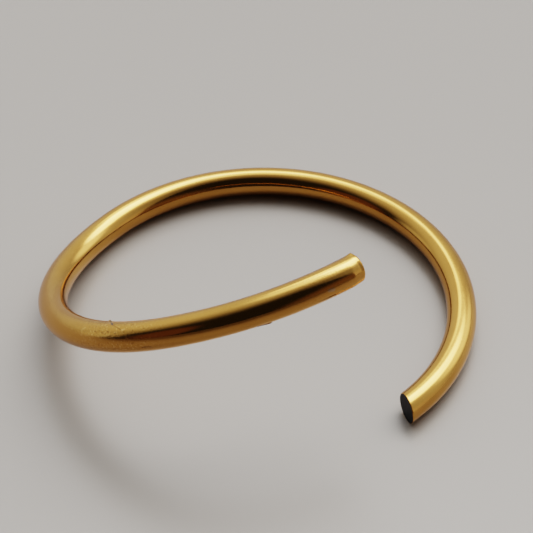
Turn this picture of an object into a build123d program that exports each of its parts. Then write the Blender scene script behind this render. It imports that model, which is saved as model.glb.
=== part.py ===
from build123d import *
import os
from math import cos, degrees, radians, sin, tan

# A plain nose ring: one piece of round wire, wound into a hoop and then twisted open. One cut end lies on the
# table. The other is lifted, and passes in front of it. Millimetres and degrees. +X is right, +Y is back, and
# z = 0 is the table. The origin is under the middle of the hoop, on the table.

WIRE_D = 0.8            # 20 gauge wire
LOW_END_AT = -46.8      # where the low end lies on the flat bend's circle, seen from above, from +X towards +Y
LOW_CUT_SLANT = 23      # the low end is cut this far off square, so it is longer on the outside of the hoop
LOW_RIM = 0.02          # radius on the low end's sharp rim
TIP_RIM = 0.06          # radius on the lifted end's rim

# The wire's bends, from the low end to the lifted one: each is an arc of the centreline. Roll turns a bend's
# plane about the wire before the bend starts. The roll of 25 degrees is the twist that opened the hoop.
BENDS = (
    # (name, centreline radius, angle bent, roll)
    ("flat", 5.55, 184.2, 0.0),
    ("rising", 5.20, 112.1, 25.0),
    ("lifted", 5.48, 58.4, -5.2),
)

WIRE_R = WIRE_D / 2
FLAT_R = BENDS[0][1]
CUT_ALLOWANCE = degrees(2 * WIRE_R * tan(radians(LOW_CUT_SLANT)) / FLAT_R)  # spare wire beyond the slanted cut


def frame_on_table(angle):
    """The wire's frame on the flat bend's circle: z_dir along the wire, x_dir towards the circle's centre."""
    outward = Vector(cos(radians(angle)), sin(radians(angle)), 0)
    along = Vector(-outward.Y, outward.X, 0)
    return Plane(outward * FLAT_R + Vector(0, 0, WIRE_R), x_dir=outward * -1, z_dir=along)


def bent(start, radius, angle):
    """A bend that begins at a frame: its solid, which is a stretch of torus, and the frame at its far end."""
    centre = start.origin + start.x_dir * radius
    axis = Axis(centre, start.y_dir)
    solid = revolve(start * Circle(WIRE_R), axis, revolution_arc=angle)
    x_dir = start.x_dir.rotate(axis, angle)
    z_dir = start.z_dir.rotate(axis, angle)
    return solid, Plane(centre - x_dir * radius, x_dir=x_dir, z_dir=z_dir)


def rolled(frame, roll):
    return Plane(frame.location * Rot(Z=roll))


def bent_wire():
    """The whole wire, with spare length at the low end, and the frame at its lifted end."""
    wire = None
    frame = frame_on_table(LOW_END_AT - CUT_ALLOWANCE)
    spare = CUT_ALLOWANCE
    for _, radius, angle, roll in BENDS:
        solid, frame = bent(rolled(frame, roll), radius, angle + spare)
        wire = solid if wire is None else wire + solid
        spare = 0
    return wire, frame


def low_cut():
    """The plane of the slanted cut. Its z_dir points into the wire that is kept."""
    square = frame_on_table(LOW_END_AT)
    into_wire = square.z_dir.rotate(Axis.Z, -LOW_CUT_SLANT)
    return Plane(square.origin, x_dir=Vector(0, 0, 1), z_dir=into_wire)


def rim_rounded(wire, end_point, radius):
    rim = wire.edges().filter_by(lambda edge: edge.is_closed).sort_by_distance(end_point)[0]
    return fillet(rim, radius)


def hoop_wire():
    wire, lifted_end = bent_wire()
    cut = low_cut()
    wire -= cut * Pos(0, 0, -WIRE_D) * Box(2 * WIRE_D, 2 * WIRE_D, 2 * WIRE_D)
    wire = rim_rounded(wire, lifted_end.origin, TIP_RIM)
    wire = rim_rounded(wire, cut.origin, LOW_RIM)
    box = wire.bounding_box()
    middle = box.center()
    return Pos(-middle.X, -middle.Y, -box.min.Z) * wire


def main():
    os.makedirs("parts", exist_ok=True)
    wire = hoop_wire()
    export_step(wire, "parts/hoop_wire.step")
    length = sum(radius * radians(angle) for _, radius, angle, _ in BENDS)
    print("centreline length", round(length, 2), "mm")
    print("volume", round(wire.volume, 3), "mm3")
    print("size", wire.bounding_box().size)


main()
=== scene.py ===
from math import acos, cos, pi, radians, sin, tau

import bpy
from mathutils import Matrix, Vector, noise


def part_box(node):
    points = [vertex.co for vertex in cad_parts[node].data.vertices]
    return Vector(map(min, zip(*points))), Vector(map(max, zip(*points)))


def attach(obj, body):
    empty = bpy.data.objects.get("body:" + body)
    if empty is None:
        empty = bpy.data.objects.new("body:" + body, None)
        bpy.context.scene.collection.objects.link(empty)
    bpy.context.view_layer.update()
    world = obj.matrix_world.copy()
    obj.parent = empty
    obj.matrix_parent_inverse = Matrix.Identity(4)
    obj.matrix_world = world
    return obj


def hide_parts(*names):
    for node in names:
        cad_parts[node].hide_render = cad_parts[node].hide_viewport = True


# A plain nose ring of round gold wire, wound into a hoop and twisted open. One cut end lies on the floor,
# and the other is lifted and passes in front of it. Lengths are metres, written as millimetres times MM.

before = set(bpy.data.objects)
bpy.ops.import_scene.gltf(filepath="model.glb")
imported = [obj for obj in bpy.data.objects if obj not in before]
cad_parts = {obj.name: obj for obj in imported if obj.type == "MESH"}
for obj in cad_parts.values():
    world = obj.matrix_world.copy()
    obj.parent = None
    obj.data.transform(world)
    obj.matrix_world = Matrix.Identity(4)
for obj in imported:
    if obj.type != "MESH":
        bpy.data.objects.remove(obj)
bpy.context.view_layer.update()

MM = 0.001

# The wire's centreline, from the low end to the lifted one, as in the CAD model.
WIRE_R = 0.4 * MM
LOW_END_AT = radians(-46.8)         # where the low end lies on the flat bend's circle
LOW_CUT_SLANT = radians(23)         # the low end is cut this far off square, so it is longer on the outside
LOW_RIM = 0.02 * MM                 # radius on the low end's sharp rim
TIP_RIM = 0.06 * MM                 # radius on the lifted end's rim
BENDS = (
    # (name, centreline radius, angle bent, roll about the wire before the bend)
    ("flat", 5.55 * MM, radians(184.2), 0.0),
    ("rising", 5.20 * MM, radians(112.1), radians(25.0)),
    ("lifted", 5.48 * MM, radians(58.4), radians(-5.2)),
)
WIRE_LENGTH = sum(radius * angle for _, radius, angle, _ in BENDS)

# The drawn and bent wire's surface is a little uneven, in long and short waves.
LONG_WAVE = 1.6 * MM
LONG_WAVE_HEIGHT = 0.0022 * MM
SHORT_WAVE = 0.5 * MM
SHORT_WAVE_HEIGHT = 0.0007 * MM

# The lifted end is rubbed down a little on its lower side, over its last stretch.
RUBBED_LENGTH = 0.34 * MM
RUBBED_DEPTH = 0.047 * MM           # at the very end
RUBBED_AROUND = radians(-135)

# Burrs stand off the surface. Each rises slowly along the wire, and ends abruptly.
BURRS = (
    # (begins, length, height, half width, around)
    (30.60 * MM, 0.42 * MM, 0.040 * MM, 0.07 * MM, radians(-92)),       # on the lifted arm's underside
    (26.36 * MM, 0.16 * MM, 0.050 * MM, 0.050 * MM, radians(86)),       # at the dark nick on its top edge
    (33.30 * MM, 0.29 * MM, 0.045 * MM, 0.13 * MM, radians(106)),       # where the lifted end's cut began
)

# How finely the wire's surface is divided.
AROUND = 80
STATIONS = 1000
RIM_RINGS = 5
FACE_RINGS = 14
SLANT_FADE = 1.5 * MM               # over this length the rings turn from the cut's slant to square

# The camera, which looks along +Y and down.
CAMERA_AIM = Vector((0.2645, 1.6735, 0)) * MM
CAMERA_DISTANCE = 69.18 * MM
CAMERA_ELEVATION = radians(41.04)
CAMERA_ROLL = radians(1.79)
CAMERA_LENS = 166


# --------------------------------------------------------------------------------------------------
# The wire's centreline


class Bend:
    """One arc of the centreline: its first frame, where it begins along the wire, and the rolls up to it."""

    def __init__(self, begins, turned, origin, inward, along, radius, angle):
        self.begins = begins
        self.turned = turned
        self.radius = radius
        self.angle = angle
        self.along = along
        self.inward = inward
        self.axis = along.cross(inward)
        self.centre = origin + inward * radius

    def at(self, distance):
        """The centreline's point and its inward, sideways and along directions, at a distance along it."""
        turn = Matrix.Rotation((distance - self.begins) / self.radius, 3, self.axis)
        inward = turn @ self.inward
        return self.centre - inward * self.radius, inward, self.axis, turn @ self.along


def bends():
    """The wire's arcs, laid end to end from the low end."""
    outward = Vector((cos(LOW_END_AT), sin(LOW_END_AT), 0))
    point = outward * BENDS[0][1] + Vector((0, 0, WIRE_R))
    inward = -outward
    along = Vector((-outward.y, outward.x, 0))
    begins = 0.0
    turned = 0.0
    made = []
    for _, radius, angle, roll in BENDS:
        inward = Matrix.Rotation(roll, 3, along) @ inward
        turned += roll
        bend = Bend(begins, turned, point, inward, along, radius, angle)
        made.append(bend)
        begins += radius * angle
        point, inward, _, along = bend.at(begins)
    return made


CENTRELINE = bends()


def on_wire(distance, around, depth):
    """A point at a distance along the wire, an angle around it, and a distance from its centreline."""
    bend = CENTRELINE[0]
    for later in CENTRELINE[1:]:
        if distance >= later.begins:
            bend = later
    point, inward, sideways, _ = bend.at(distance)
    angle = around - bend.turned
    return point + (inward * cos(angle) + sideways * sin(angle)) * depth


def slant(around, depth):
    """How far along the wire the low end's slanted cut meets a line at this angle and depth."""
    radius = BENDS[0][1]
    from_centre = radius - depth * cos(around)
    return radius * (pi / 2 - LOW_CUT_SLANT - acos(radius * sin(LOW_CUT_SLANT) / from_centre))


# --------------------------------------------------------------------------------------------------
# The wire's surface


def rings():
    """The surface's rings, from the middle of the low end's face to the middle of the lifted end's.

    Each is (distance along the wire, share of the low cut's slant, depth, part). Depth is how far the ring
    lies from the centreline."""
    made = []
    for i in range(1, FACE_RINGS + 1):
        depth = (WIRE_R - LOW_RIM) * i / FACE_RINGS
        made.append((0.0, 1.0, depth, "low face"))
    for i in range(1, RIM_RINGS + 1):
        turn = pi / 2 * i / RIM_RINGS
        made.append((LOW_RIM * (1 - cos(turn)), 1.0, WIRE_R - LOW_RIM * (1 - sin(turn)), "side"))
    first = LOW_RIM
    last = WIRE_LENGTH - TIP_RIM
    for i in range(1, STATIONS):
        distance = first + (last - first) * i / STATIONS
        fade = max(0.0, 1 - distance / SLANT_FADE)
        made.append((distance, fade * fade * (3 - 2 * fade), WIRE_R, "side"))
    for i in range(0, RIM_RINGS + 1):
        turn = pi / 2 * i / RIM_RINGS
        made.append((last + TIP_RIM * sin(turn), 0.0, WIRE_R - TIP_RIM * (1 - cos(turn)), "tip rim"))
    for i in range(FACE_RINGS - 1, 0, -1):
        made.append((WIRE_LENGTH, 0.0, (WIRE_R - TIP_RIM) * i / FACE_RINGS, "tip face"))
    return made


def uneven(distance, around):
    """How far the surface stands off a true cylinder: shallow waves, under 3 microns high."""
    side = Vector((cos(around), sin(around), 0)) * 0.6
    long_wave = noise.noise(side + Vector((0, 0, distance / LONG_WAVE)))
    short_wave = noise.noise(side * 2 + Vector((7, 3, distance / SHORT_WAVE)))
    return LONG_WAVE_HEIGHT * long_wave + SHORT_WAVE_HEIGHT * short_wave


def rubbed(distance, around):
    """How far the lifted end is rubbed down here, at the wire's surface."""
    share = max(0.0, 1 - (WIRE_LENGTH - distance) / RUBBED_LENGTH)
    facing = max(0.0, cos(around - RUBBED_AROUND))
    return RUBBED_DEPTH * share * facing


def burrs(distance, around):
    """How far a burr stands off the wire here."""
    height = 0.0
    for begins, length, top, half_width, at_angle in BURRS:
        share = (distance - begins) / length
        if 0 < share < 1:
            aside = abs((around - at_angle + pi) % tau - pi) * WIRE_R
            across = max(0.0, 1 - aside / half_width)
            height += top * across * min(share ** 1.5, 8 * (1 - share))
    return height


def wire_mesh():
    """The wire's mesh, and whether each of its faces is on the low end's cut.

    Its "drawn" attribute is where a point lay when the wire was straight, in millimetres, z along it."""
    points = []
    drawn = []
    sections = rings()
    for distance, share, depth, part in sections:
        for k in range(AROUND):
            around = tau * k / AROUND
            here = distance + share * slant(around, depth)
            out = depth
            if part == "side" and distance > LOW_RIM:
                out += uneven(here, around)
            if part in ("side", "tip rim"):
                out += burrs(here, around)
            out -= rubbed(here, around) * depth / WIRE_R
            points.append(on_wire(here, around, out))
            drawn.append((depth / MM * cos(around), depth / MM * sin(around), here / MM))
    low_middle = len(points)
    points.append(on_wire(0.0, 0.0, 0.0))
    drawn.append((0.0, 0.0, 0.0))
    tip_middle = len(points)
    points.append(on_wire(WIRE_LENGTH, 0.0, 0.0))
    drawn.append((0.0, 0.0, WIRE_LENGTH / MM))

    faces = []
    on_low_cut = []
    for k in range(AROUND):
        faces.append((low_middle, (k + 1) % AROUND, k))
        on_low_cut.append(True)
    for i in range(len(sections) - 1):
        for k in range(AROUND):
            a = i * AROUND + k
            b = i * AROUND + (k + 1) % AROUND
            faces.append((a, b, b + AROUND, a + AROUND))
            on_low_cut.append(sections[i][3] == "low face")
    last = (len(sections) - 1) * AROUND
    for k in range(AROUND):
        faces.append((last + k, last + (k + 1) % AROUND, tip_middle))
        on_low_cut.append(False)

    mesh = bpy.data.meshes.new("hoop_wire_finished")
    mesh.from_pydata([tuple(p) for p in points], [], faces)
    attribute = mesh.attributes.new("drawn", "FLOAT_VECTOR", "POINT")
    attribute.data.foreach_set("vector", [value for place in drawn for value in place])
    return mesh, on_low_cut


def into_cad_box(piece):
    """Moves the mesh so that its box has the same middle and floor as the CAD wire's."""
    low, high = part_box("hoop_wire")
    points = [v.co for v in piece.data.vertices]
    own_low = Vector([min(p[i] for p in points) for i in range(3)])
    own_high = Vector([max(p[i] for p in points) for i in range(3)])
    shift = (Vector(low) + Vector(high) - own_low - own_high) / 2
    shift.z = low[2] - own_low.z
    piece.data.transform(Matrix.Translation(shift))


def hoop():
    mesh, on_low_cut = wire_mesh()
    wire = bpy.data.objects.new("hoop_wire_finished", mesh)
    bpy.context.scene.collection.objects.link(wire)
    into_cad_box(wire)
    mesh.materials.append(polished_gold())
    mesh.materials.append(cut_face())
    for face, is_cut in zip(mesh.polygons, on_low_cut):
        face.material_index = 1 if is_cut else 0
    mesh.shade_smooth()
    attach(wire, "root")
    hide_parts("hoop_wire")


# --------------------------------------------------------------------------------------------------
# Materials


class Nodes:
    """A short way to write a node tree: add() makes a node, sets its values and links its inputs.

    An input is named with _ for each space, or is _0, _1 and so on where it goes by its number."""

    def __init__(self, owner):
        owner.use_nodes = True
        self.tree = owner.node_tree
        self.tree.nodes.clear()

    def add(self, kind, settings=None, **inputs):
        made = self.tree.nodes.new(kind)
        for name, value in (settings or {}).items():
            setattr(made, name, value)
        for name, value in inputs.items():
            self.put(made, name, value)
        return made

    def put(self, made, name, value):
        socket = made.inputs[int(name[1:])] if name[0] == "_" else made.inputs[name.replace("_", " ")]
        if isinstance(value, bpy.types.NodeSocket):
            self.tree.links.new(value, socket)
        else:
            socket.default_value = value

    def maths(self, operation, *values):
        made = self.add("ShaderNodeMath", {"operation": operation})
        for i, value in enumerate(values):
            self.put(made, f"_{i}", value)
        return made.outputs[0]

    def ramp(self, value, low, high, to_low=0.0, to_high=1.0, smooth=True):
        made = self.add("ShaderNodeMapRange", {"interpolation_type": "SMOOTHSTEP" if smooth else "LINEAR"})
        for name, number in zip(("Value", "From_Min", "From_Max", "To_Min", "To_Max"),
                                (value, low, high, to_low, to_high)):
            self.put(made, name, number)
        return made.outputs[0]

    def mixed(self, share, first, second):
        made = self.add("ShaderNodeMix", {"data_type": "RGBA"})
        self.put(made, "_0", share)
        self.put(made, "_6", first)
        self.put(made, "_7", second)
        return made.outputs[2]

    def noise(self, place, scale, detail, roughness):
        made = self.add("ShaderNodeTexNoise", {"noise_dimensions": "3D"},
                        Vector=place, Scale=scale, Detail=detail, Roughness=roughness)
        return made.outputs[0]

    def vector_maths(self, operation, first, second, output="Value"):
        made = self.add("ShaderNodeVectorMath", {"operation": operation}, _0=first, _1=second)
        return made.outputs[output]


def on_surface(distance, around):
    """A place in the "drawn" attribute's space: the wire as drawn straight, in millimetres, along z."""
    angle = radians(around)
    return Vector((WIRE_R / MM * cos(angle), WIRE_R / MM * sin(angle), distance))


def stroke(n, drawn, start, end, half_width):
    """1 along the line between two places on the surface, fading to 0 at half_width millimetres from it."""
    line = end - start
    from_start = n.vector_maths("SUBTRACT", drawn, start, "Vector")
    reach = n.vector_maths("DOT_PRODUCT", from_start, line)
    share = n.ramp(reach, 0.0, line.length_squared, smooth=False)
    nearest = n.add("ShaderNodeVectorMath", {"operation": "SCALE"}, _0=line, Scale=share).outputs["Vector"]
    gap = n.vector_maths("DISTANCE", from_start, nearest)
    return n.ramp(gap, half_width, 0.3 * half_width)


def strokes(n, drawn, lines):
    """The strongest of several strokes, each a row of one of the tables below."""
    strongest = 0.0
    for from_distance, from_around, to_distance, to_around, half_width in lines:
        start = on_surface(from_distance, from_around)
        end = on_surface(to_distance, to_around)
        strongest = n.maths("MAXIMUM", stroke(n, drawn, start, end, half_width), strongest)
    return strongest


# Marks on the lifted arm, and one spot of painted shade on the lifted end's rim. Each row is a stroke from
# one place to another. A place is millimetres along the wire and degrees around it.
SCRATCHES_AND_PAINTED_SHADE = (
    # (start distance, around, end distance, around, half width in millimetres)
    (27.80, -141, 27.98, -136, 0.020),      # the upper side of a small oval dent, low on the arm
    (27.82, -132, 28.00, -128, 0.020),      # and its lower side
    (27.74, -137, 27.83, -134, 0.015),
    (26.78, 120, 27.18, 146, 0.017),        # a fine scratch that trails from the dark nick
    (33.51, 164, 33.53, 196, 0.066),        # painted shade: a dark spot on the lifted end's rim
    (26.84, 172, 26.92, 170, 0.020),        # dots beside the nick
    (26.60, 158, 26.64, 160, 0.017),
    (27.02, 160, 27.05, 163, 0.015),
)
NICKS = (
    (26.45, 78, 26.80, 119, 0.042),         # the dark nick on the arm's top edge
    (26.22, 106, 26.50, 98, 0.018),
)
GREY_FLECK = (
    (32.54, -150, 32.64, -145, 0.075),      # a pale grey fleck near the tip
)
BURR_STAIN = (
    (30.66, -97, 30.98, -92, 0.075),        # a reddish stain on the burr under the arm
)

# The stretch of the wire that has been gripped, and the end that has been handled, in millimetres along it.
GRIP_BEGINS = 24.8
GRIP_FULL_FROM = 26.4
GRIP_FULL_TO = 27.2
GRIP_ENDS = 28.8
HANDLED_BEGINS = 31.0
HANDLED_FULL_FROM = 33.0
HANDLED_WEAR = 0.16                 # as a share of the gripped stretch's wear
WEAR_ELSEWHERE = 0.12

GOLD_WARM = (0.64, 0.362, 0.104, 1)
GOLD_PALE = (0.68, 0.39, 0.114, 1)
BRIGHT_GRAIN = (0.83, 0.525, 0.20, 1)
PIT_COLOUR = (0.26, 0.10, 0.025, 1)
# The scratches' colour also paints a dark spot of painted shade on the lifted end's rim.
SCRATCH_AND_PAINTED_SHADE_COLOUR = (0.16, 0.075, 0.025, 1)
STAIN_COLOUR = (0.22, 0.04, 0.02, 1)
FLECK_COLOUR = (0.48, 0.47, 0.40, 1)
NICK_COLOUR = (0.045, 0.042, 0.05, 1)
BUMP_HEIGHT = 0.0008 * MM           # of one unit of the height that the nodes work out

# The low end's face is painted nearly black, standing in for a dark reflection; the two tones follow its
# shear marks.
CUT_PAINTED_REFLECTION_DARK = (0.012, 0.018, 0.021, 1)
CUT_PAINTED_REFLECTION_PALE = (0.03, 0.036, 0.036, 1)
CUT_BUMP_HEIGHT = 0.004 * MM


def polished_gold():
    """Drawn and polished gold: long drawing lines, fine pits where gripped, a few marks, and a painted shade
    spot.
    """
    material = bpy.data.materials.new("polished_gold")
    n = Nodes(material)
    drawn = n.add("ShaderNodeAttribute", {"attribute_name": "drawn"}).outputs["Vector"]
    stretched = n.add("ShaderNodeMapping", None, Vector=drawn, Scale=(1, 1, 0.05)).outputs[0]
    drawing_lines = n.noise(stretched, 22, 3.0, 0.6)
    grain = n.noise(drawn, 16, 3.0, 0.6)
    blotches = n.noise(drawn, 0.9, 2.0, 0.5)

    along = n.add("ShaderNodeSeparateXYZ", None, Vector=drawn).outputs["Z"]
    into_grip = n.ramp(along, GRIP_BEGINS, GRIP_FULL_FROM)
    out_of_grip = n.ramp(along, GRIP_ENDS, GRIP_FULL_TO)
    gripped = n.maths("MULTIPLY", into_grip, out_of_grip)
    handled = n.maths("MULTIPLY", n.ramp(along, HANDLED_BEGINS, HANDLED_FULL_FROM), HANDLED_WEAR)
    worn = n.maths("ADD", n.maths("MAXIMUM", gripped, handled), WEAR_ELSEWHERE)

    cells = n.add("ShaderNodeTexVoronoi", {"feature": "F1"}, Vector=drawn, Scale=14.0)
    cell_number = n.add("ShaderNodeSeparateColor", None, Color=cells.outputs["Color"]).outputs[0]
    has_pit = n.ramp(cell_number, 0.5, 0.9)
    pits = n.maths("MULTIPLY", n.ramp(cells.outputs["Distance"], 0.55, 0.05), has_pit)
    pits = n.maths("MULTIPLY", pits, worn)
    # The scratch strokes include a dark spot of painted shade on the lifted end's rim.
    scratches_and_painted_shade = strokes(n, drawn, SCRATCHES_AND_PAINTED_SHADE)
    nicks = strokes(n, drawn, NICKS)
    stain = strokes(n, drawn, BURR_STAIN)
    fleck = strokes(n, drawn, GREY_FLECK)
    scratches_nicks_and_painted_shade = n.maths("MAXIMUM", scratches_and_painted_shade, nicks)
    dull = n.maths("MAXIMUM", nicks, stain)

    colour = n.mixed(n.ramp(blotches, 0.35, 0.65), GOLD_WARM, GOLD_PALE)
    colour = n.mixed(n.maths("MULTIPLY", n.ramp(grain, 0.52, 0.68), worn), colour, BRIGHT_GRAIN)
    for mark, strength, mark_colour in (
        (pits, 0.5, PIT_COLOUR),
        (scratches_and_painted_shade, 0.55, SCRATCH_AND_PAINTED_SHADE_COLOUR),
        (stain, 0.8, STAIN_COLOUR),
        (fleck, 0.4, FLECK_COLOUR),
        (nicks, 0.9, NICK_COLOUR),
    ):
        colour = n.mixed(n.maths("MULTIPLY", mark, strength), colour, mark_colour)
    metal = n.maths("SUBTRACT", 1.0, dull)

    roughness = n.ramp(grain, 0.3, 0.7, 0.10, 0.16)
    roughness = n.maths("MULTIPLY_ADD", worn, 0.04, roughness)
    roughness = n.maths("MAXIMUM", roughness, n.maths("MULTIPLY", dull, 0.45))
    height = n.maths("MULTIPLY", drawing_lines, 0.7)
    height = n.maths("MULTIPLY_ADD", grain, n.maths("MULTIPLY_ADD", worn, 1.9, 0.4), height)
    height = n.maths("MULTIPLY_ADD", pits, -3.0, height)
    height = n.maths("MULTIPLY_ADD", scratches_nicks_and_painted_shade, -3.0, height)
    bump = n.add("ShaderNodeBump", None, Strength=1.0, Distance=BUMP_HEIGHT, Height=height)
    shader = n.add("ShaderNodeBsdfPrincipled", None, Base_Color=colour, Metallic=metal, Roughness=roughness,
                   Normal=bump.outputs[0])
    n.add("ShaderNodeOutputMaterial", None, Surface=shader.outputs[0])
    return material


def cut_face():
    """The low end's face: a sheared cut with shear marks across it, painted nearly black as a dark
    reflection.
    """
    material = bpy.data.materials.new("sheared_cut")
    n = Nodes(material)
    drawn = n.add("ShaderNodeAttribute", {"attribute_name": "drawn"}).outputs["Vector"]
    stretched = n.add("ShaderNodeMapping", None, Vector=drawn, Scale=(1, 0.12, 1)).outputs[0]
    marks = n.noise(stretched, 18, 3.0, 0.6)
    # Painted dark reflection, in two tones along the shear marks.
    colour = n.mixed(n.ramp(marks, 0.35, 0.7), CUT_PAINTED_REFLECTION_DARK, CUT_PAINTED_REFLECTION_PALE)
    bump = n.add("ShaderNodeBump", None, Strength=1.0, Distance=CUT_BUMP_HEIGHT, Height=marks)
    shader = n.add("ShaderNodeBsdfPrincipled", None, Base_Color=colour, Metallic=0.7, Roughness=0.5,
                   Normal=bump.outputs[0])
    n.add("ShaderNodeOutputMaterial", None, Surface=shader.outputs[0])
    return material


# --------------------------------------------------------------------------------------------------
# The floor, the light and the camera


FLOOR_HALF_SIDE = 0.6
FLOOR_TONES = ((0.433, 0.402, 0.369, 1), (0.449, 0.418, 0.384, 1))

# What the ring reflects of the floor is painted a little redder, and grows dim in this direction under a
# painted shadow, which is to the front and a little left. The camera sees an even floor.
PAINTED_SHADOW_TOWARDS = Vector((-0.15, -0.989, 0))
PAINTED_SHADOW_BEGINS = 5 * MM
PAINTED_SHADOW_ENDS = 29 * MM
FLOOR_REFLECTED = (0.41, 0.346, 0.326, 1)
FLOOR_REFLECTED_IN_PAINTED_SHADOW = (0.14, 0.108, 0.098, 1)


def floor():
    """A plain pale floor. The ring's reflections see it painted a little redder, dimmed to the front by a
    painted shadow.
    """
    side = FLOOR_HALF_SIDE
    mesh = bpy.data.meshes.new("floor")
    corners = [(-side, -side, 0), (side, -side, 0), (side, side, 0), (-side, side, 0)]
    mesh.from_pydata(corners, [], [(0, 1, 2, 3)])
    plane = bpy.data.objects.new("floor", mesh)
    bpy.context.scene.collection.objects.link(plane)
    material = bpy.data.materials.new("pale_floor")
    n = Nodes(material)
    place = n.add("ShaderNodeTexCoord").outputs["Object"]
    tint = n.noise(place, 40, 3.0, 0.5)
    plain = n.mixed(n.ramp(tint, 0.3, 0.7), *FLOOR_TONES)
    away = n.vector_maths("DOT_PRODUCT", place, PAINTED_SHADOW_TOWARDS)
    # Painted reflection of the floor: redder, and darkening towards the front under a painted shadow.
    reflected_with_painted_shadow = n.mixed(n.ramp(away, PAINTED_SHADOW_BEGINS, PAINTED_SHADOW_ENDS), FLOOR_REFLECTED, FLOOR_REFLECTED_IN_PAINTED_SHADOW)
    seen = n.add("ShaderNodeLightPath").outputs["Is Camera Ray"]
    colour = n.mixed(seen, reflected_with_painted_shadow, plain)
    shader = n.add("ShaderNodeBsdfPrincipled", None, Base_Color=colour, Roughness=0.4)
    shader.inputs["Specular IOR Level"].default_value = 1.0
    n.add("ShaderNodeOutputMaterial", None, Surface=shader.outputs[0])
    mesh.materials.append(material)


# The light comes from soft round patches of the surroundings, in degrees. Azimuth 0 is straight back and 90
# is to the right, and elevation is above the floor. A patch is even within its narrow angle, and ends at its
# wide one.
LAMPS = (
    # (azimuth, elevation, wide, narrow, strength)
    (6, 55, 10, 2, 2.4),                # a small bright lamp high at the back
    (-10, 42, 11, 1, 1.4),              # another, lower and to its left
    (6, 60, 26, 1, 1.2),                # the glow around the first
    (42, 54, 22, 10, 2.9),              # a large soft lamp high on the right
    (52, 58, 28, 10, 0.45),             # the glow beside it
    (58, 26, 23, 3, 1.0),               # a lower lamp on the right
    (68, 32, 32, 8, 0.15),              # the glow beside it
    (-22, 52, 67, 1, 0.28),             # a wide glow high at the back, a little left
    (-83, 9, 17, 5, 0.22),              # a faint lamp low on the left
)

# The wall behind the ring is where these two patches meet. It is even at the back and the right, dims
# overhead and to the left, and ends near the sides.
WALL = (
    # (azimuth, elevation, wide, narrow)
    (22, -22, 138, 86),
    (11, 10, 103, 97),
)
WALL_STRENGTH = 0.40
ROOM_COLOUR = (1.0, 0.90, 0.75, 1)
ROOM_STRENGTH = 0.025
WARM_PATCHES = (
    # (azimuth, elevation, wide, narrow, strength, colour)
    (-126, 16, 24, 12, 0.085, (1.0, 0.44, 0.30, 1)),
    (122, -10, 50, 1, 0.14, (1.0, 0.62, 0.42, 1)),
)
BACKDROP_COLOUR = (0.474, 0.45, 0.42, 1)


def toward(azimuth, elevation):
    """A unit direction, as the table of lamps gives it."""
    a = radians(azimuth)
    e = radians(elevation)
    return Vector((sin(a) * cos(e), cos(a) * cos(e), sin(e)))


def studio():
    """A bright wall behind the ring, soft lamps, a dim warm room in front, and a plain backdrop."""
    world = bpy.data.worlds.new("studio")
    bpy.context.scene.world = world
    n = Nodes(world)
    direction = n.add("ShaderNodeTexCoord").outputs["Generated"]

    def patch(azimuth, elevation, wide, narrow):
        nearness = n.vector_maths("DOT_PRODUCT", direction, toward(azimuth, elevation))
        return n.ramp(nearness, cos(radians(wide)), cos(radians(narrow)))

    def glow(colour, strength):
        return n.add("ShaderNodeBackground", None, Color=colour, Strength=strength).outputs[0]

    wall = n.maths("MULTIPLY", patch(*WALL[0]), patch(*WALL[1]))
    strength = n.maths("MULTIPLY", wall, WALL_STRENGTH)
    for azimuth, elevation, wide, narrow, power in LAMPS:
        strength = n.maths("MULTIPLY_ADD", patch(azimuth, elevation, wide, narrow), power, strength)
    room = glow(ROOM_COLOUR, ROOM_STRENGTH)
    lit = n.add("ShaderNodeAddShader", None, _0=glow((1, 1, 1, 1), strength), _1=room)
    for azimuth, elevation, wide, narrow, power, colour in WARM_PATCHES:
        warm = glow(colour, n.maths("MULTIPLY", patch(azimuth, elevation, wide, narrow), power))
        lit = n.add("ShaderNodeAddShader", None, _0=lit.outputs[0], _1=warm)
    seen = n.add("ShaderNodeLightPath").outputs["Is Camera Ray"]
    mixed = n.add("ShaderNodeMixShader", None, _0=seen, _1=lit.outputs[0], _2=glow(BACKDROP_COLOUR, 1.0))
    n.add("ShaderNodeOutputWorld", None, Surface=mixed.outputs[0])
    bpy.context.scene.view_settings.view_transform = "Filmic"
    bpy.context.scene.view_settings.look = "High Contrast"


def camera():
    data = bpy.data.cameras.new("camera")
    data.lens = CAMERA_LENS
    data.sensor_width = 36
    data.clip_start = 1 * MM
    data.clip_end = 10.0
    made = bpy.data.objects.new("camera", data)
    bpy.context.scene.collection.objects.link(made)
    ahead = Vector((0, cos(CAMERA_ELEVATION), -sin(CAMERA_ELEVATION)))
    level_up = Vector((0, sin(CAMERA_ELEVATION), cos(CAMERA_ELEVATION)))
    level_right = Vector((1, 0, 0))
    right = level_right * cos(CAMERA_ROLL) - level_up * sin(CAMERA_ROLL)
    up = level_right * sin(CAMERA_ROLL) + level_up * cos(CAMERA_ROLL)
    place = CAMERA_AIM - ahead * CAMERA_DISTANCE
    turn = Matrix((right, up, -ahead)).transposed()
    made.matrix_world = Matrix.Translation(place) @ turn.to_4x4()
    bpy.context.scene.camera = made


hoop()
floor()
studio()
camera()
